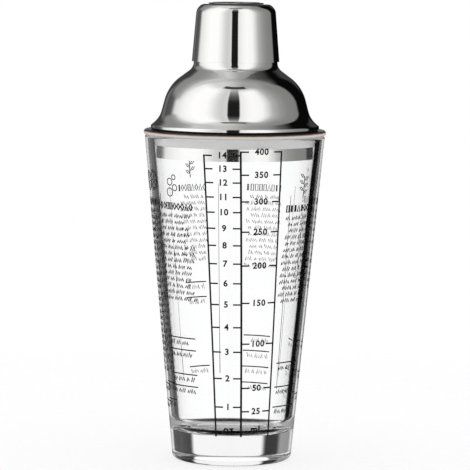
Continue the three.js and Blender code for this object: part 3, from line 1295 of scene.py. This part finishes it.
def painted_studio(tree, axes, turn, rise, kinds):
    """Walls, ceiling, lamp boom, table and the card behind, as mirrors show them."""
    aside = calc(tree, "ABSOLUTE", turn)
    across, back = (calc(tree, "ARCSINE", axes[axis]) for axis in "XY")
    on_right = eased(tree, across, *CEILING_SIDES)
    low = mixed(tree, on_right, eased(tree, rise, *LOW_LEFT), eased(tree, rise, *LOW_RIGHT))
    low = product(tree, low, eased(tree, aside, *BACK_HALF))
    overhead = calc(tree, "MAXIMUM", low, eased(tree, rise, *CEILING_RISE))
    studio = painted_walls(tree, turn, rise, kinds)
    studio = mixed(tree, overhead, studio, painted_ceiling(tree, on_right, back))
    along_boom = within(tree, turn, GAP_CENTRE, BOOM_ASIDE)
    at_boom = product(tree, within(tree, rise, BOOM_HEIGHT, BOOM_EDGE), along_boom)
    studio = mixed(tree, at_boom, studio, grey(BOOM))
    studio = mixed(tree, eased(tree, rise, *TABLE_RISE), studio, grey(TABLE))
    under_top = inverse(tree, eased(tree, rise, *CARD_TOP))
    at_card = product(tree, eased(tree, rise, *CARD_BOTTOM), under_top, eased(tree, aside, *CARD_ASIDE))
    return mixed(tree, at_card, studio, grey(CARD))


# %% [markdown]
# Glass shows the white backdrop: from every side through the hollow, and else in a wide field behind, or
# in a narrower one by the wall. A shadow behind the foot darkens the glass's floor. The solid base is a
# strong lens, so it has bands of its own, which end just below the horizon and draw the dark blocks at
# its sides.

# %% What glass shows
BACKDROP_EDGE = (150.0, 154.0)
WALL_BACKDROP_EDGE = (161.0, 166.0)
FOOT_SHADOW = 0.02
FOOT_SHADOW_RISE = -42.0
FOOT_SHADOW_EDGE = (6.0, 11.0)
FOOT_SHADOW_ASIDE = (145.0, 172.0)
BASE_WHITE = 0.92
BASE_BANDS = [
    (-180, BASE_WHITE),
    (-160, BASE_WHITE),
    (-157, 0.03),
    (-144, 0.03),
    (-139, 0.3),
    (-120, 0.3),
    (-114, BASE_WHITE),
    (114, BASE_WHITE),
    (118, 0.02),
    (150, 0.03),
    (153, BASE_WHITE),
    (180, BASE_WHITE),
]
BASE_BANDS_END = (-6.0, -8.5)


def through_glass(tree, studio, turn, rise, kinds):
    """The studio with what glass shows of it: backdrop, shadow behind the foot, and the base's bands."""
    aside = calc(tree, "ABSOLUTE", turn)
    wide, narrow = (eased(tree, aside, *edge) for edge in (BACKDROP_EDGE, WALL_BACKDROP_EDGE))
    behind = product(tree, kinds["glass"], mixed(tree, kinds["wall"], wide, narrow))
    shown = mixed(tree, calc(tree, "MAXIMUM", behind, kinds["hollow"]), studio, grey(1.0))
    at_height = within(tree, rise, FOOT_SHADOW_RISE, FOOT_SHADOW_EDGE)
    in_shadow = product(tree, kinds["glass"], at_height, eased(tree, aside, *FOOT_SHADOW_ASIDE))
    shown = mixed(tree, in_shadow, shown, grey(FOOT_SHADOW))
    below = eased(tree, rise, *BASE_BANDS_END)
    base = mixed(tree, below, banded(tree, turn, BASE_BANDS), grey(BASE_WHITE))
    return mixed(tree, kinds["base"], shown, base)


# %% The light tent
def light_tent():
    world = bpy.data.worlds.new("light_tent")
    bpy.context.scene.world = world
    world.use_nodes = True
    tree = world.node_tree
    toward = add_node(tree, "ShaderNodeTexCoord").outputs["Generated"]
    axes = feed(tree, add_node(tree, "ShaderNodeSeparateXYZ"), {"Vector": toward}).outputs
    turn = calc(tree, "ARCTAN2", axes["X"], calc(tree, "MULTIPLY", axes["Y"], -1.0))
    rise = calc(tree, "ARCSINE", axes["Z"])
    kinds = ray_kinds(tree, rise)
    studio = painted_studio(tree, axes, turn, rise, kinds)
    seen = through_glass(tree, studio, turn, rise, kinds)
    seen = mixed(tree, kinds["plain"], seen, grey(1.0))
    tree.links.new(seen, tree.nodes["Background"].inputs["Color"])
    print("sky of", len(tree.nodes), "nodes")


light_tent()

# %% [markdown]
# The floor is white paper. To the camera most of it glows as white as the backdrop, and the rest of it is
# lit paper that keeps a faint shadow. Mirrors and glass look past it to the painted studio, except right
# under the foot, where the paper's colour is painted shade: grey for a straight look down through the
# base, and nearly black, a painted shadow where no light gets in, for rays mirrored inside the glass.

# %% Floor
FLOOR_SIZE = 1.0
FLOOR_FADE = (0.12, 0.4)
FLOOR_WHITE = 0.85
FLOOR_DROP = 0.0002
PAPER_GRAIN = 700.0
PAPER_GREYS = [(0.3, grey(FLOOR_WHITE - 0.01)), (0.7, grey(FLOOR_WHITE))]
SHADOW_SHARE = 0.35
UNDER_FOOT = 0.034
# Painted shadow and painted shade on the paper under the foot, seen only through the glass.
UNDER_FOOT_SHADOW = 0.003
UNDER_GLASS_SHADE = 0.28


def floor_material():
    """White paper that fades into the white sky."""
    material, tree, shader = new_material("white_paper")
    tree.nodes.remove(shader)
    place = object_place(tree)
    length = add_node(tree, "ShaderNodeVectorMath", operation="LENGTH")
    away = feed(tree, length, {0: place}).outputs["Value"]
    path = add_node(tree, "ShaderNodeLightPath").outputs
    optics = calc(tree, "MAXIMUM", path["Is Glossy Ray"], path["Is Transmission Ray"])
    mirrored = calc(tree, "GREATER_THAN", path["Glossy Depth"], HALF)
    # Paper painted grey or near black under the foot stands in for the base's shadow.
    under = mixed(tree, mirrored, grey(UNDER_GLASS_SHADE), grey(UNDER_FOOT_SHADOW))
    colour = mixed(tree, optics, ramp(tree, noise(tree, place, PAPER_GRAIN), PAPER_GREYS), under)
    paper = feed(tree, add_node(tree, "ShaderNodeBsdfDiffuse"), {"Color": colour}).outputs[0]
    white = (1 - SHADOW_SHARE * FLOOR_WHITE) / (1 - SHADOW_SHARE)
    glow = feed(tree, add_node(tree, "ShaderNodeEmission"), {"Strength": white}).outputs[0]
    glowing = calc(tree, "MULTIPLY", path["Is Camera Ray"], 1 - SHADOW_SHARE)
    lit = feed(tree, add_node(tree, "ShaderNodeMixShader"), {0: glowing, 1: paper, 2: glow}).outputs[0]
    fade = add_node(tree, "ShaderNodeMapRange", interpolation_type="SMOOTHSTEP")
    feed(tree, fade, {"Value": away, "From Min": FLOOR_FADE[0], "From Max": FLOOR_FADE[1]})
    beside = product(tree, optics, calc(tree, "GREATER_THAN", away, UNDER_FOOT))
    unseen = calc(tree, "MAXIMUM", fade.outputs["Result"], beside)
    gone = add_node(tree, "ShaderNodeBsdfTransparent").outputs[0]
    either = feed(tree, add_node(tree, "ShaderNodeMixShader"), {0: unseen, 1: lit, 2: gone})
    tree.links.new(either.outputs[0], tree.nodes["Material Output"].inputs["Surface"])
    return material


def white_floor():
    half = FLOOR_SIZE / 2
    corners = [(-half, -half, 0), (half, -half, 0), (half, half, 0), (-half, half, 0)]
    floor = piece_from("floor", corners, [(0, 1, 2, 3)])
    floor.location.z = cad_low.z - FLOOR_DROP
    floor.data.materials.append(floor_material())
    print("floor of", FLOOR_SIZE, "m")


white_floor()

# %% [markdown]
# ## The camera
# The photograph was taken with a long lens from a little above the cap: the rim is seen at a few degrees
# and the foot at ten. The camera is turned a hair, because the shaker leans to the right in the picture.

# %% Camera
CAMERA_AWAY = 1.5
CAMERA_HEIGHT = 0.248
AIM = Vector((0.00056, 0.0, 0.1049))
VIEW_ANGLE = math.radians(8.328)
ROLL = math.radians(0.6)


def photo_camera():
    lens = bpy.data.cameras.new("photo_camera")
    lens.angle = VIEW_ANGLE
    camera = bpy.data.objects.new("photo_camera", lens)
    bpy.context.scene.collection.objects.link(camera)
    stand = Vector((AIM.x, -CAMERA_AWAY, CAMERA_HEIGHT))
    look = (AIM - stand).to_track_quat("-Z", "Y").to_matrix().to_4x4()
    camera.matrix_world = Matrix.Translation(stand) @ look @ Matrix.Rotation(ROLL, 4, "Z")
    bpy.context.scene.camera = camera
    print("camera at", [round(c, 3) for c in stand])


photo_camera()
bpy.context.scene.view_settings.view_transform = "Standard"
